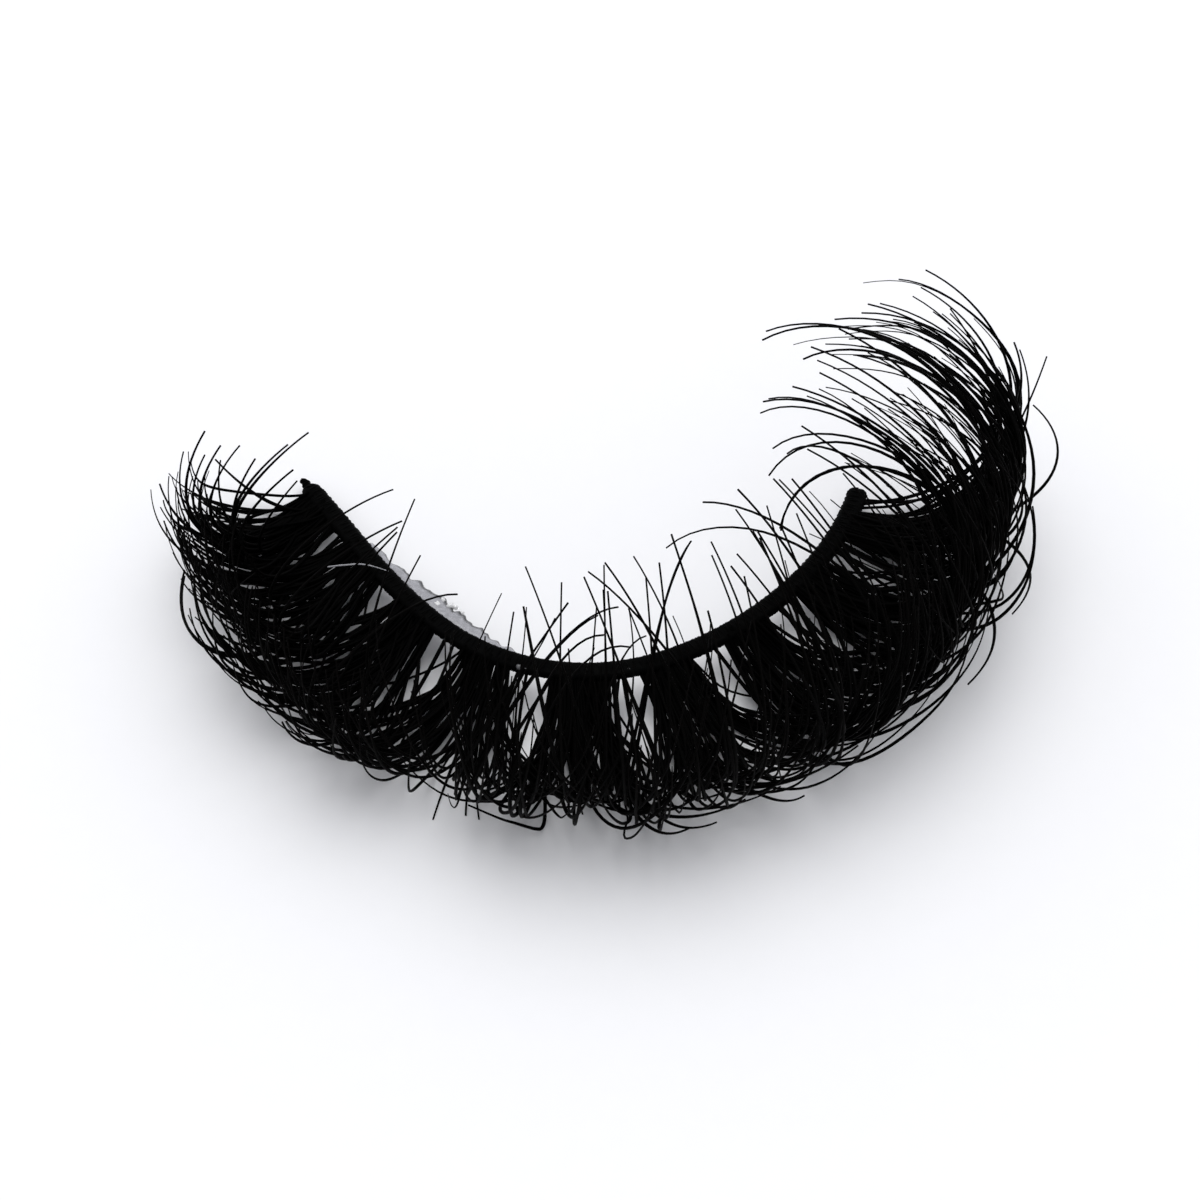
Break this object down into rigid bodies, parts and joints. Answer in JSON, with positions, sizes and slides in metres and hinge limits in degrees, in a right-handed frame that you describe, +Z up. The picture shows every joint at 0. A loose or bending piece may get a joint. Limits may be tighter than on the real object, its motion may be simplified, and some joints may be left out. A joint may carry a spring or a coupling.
{
  "type": "false eyelash strip",
  "caption": "Strip of false eyelashes: a thin curved thread band with dense crossing tufts of long curled black hair and a clear glue film on its lid side.",
  "frame": {"origin": "centre of the bounding box at its base, on the surface that the strip rests on", "axes": "+X along the strip from the inner corner with short hair to the outer corner with long hair, +Y from the hair's bellies towards the lid side of the band, +Z up from the surface"},
  "size_m": [0.0346, 0.02, 0.0134],
  "materials": {
    "band_black_thread": "matte black thread set in dried glue",
    "hair_black_fibre": "soft black hair with a slight sheen",
    "film_clear_glue": "clear dried glue"
  },
  "bodies": {
    "root": {"lash_band": "band_black_thread", "glue_film": "film_clear_glue", "hair_tuft_1": "hair_black_fibre", "hair_tuft_2": "hair_black_fibre", "hair_tuft_3": "hair_black_fibre", "hair_tuft_4": "hair_black_fibre", "hair_tuft_5": "hair_black_fibre", "hair_tuft_6": "hair_black_fibre", "hair_tuft_7": "hair_black_fibre", "hair_tuft_8": "hair_black_fibre", "hair_tuft_9": "hair_black_fibre"}
  },
  "joints": []
}
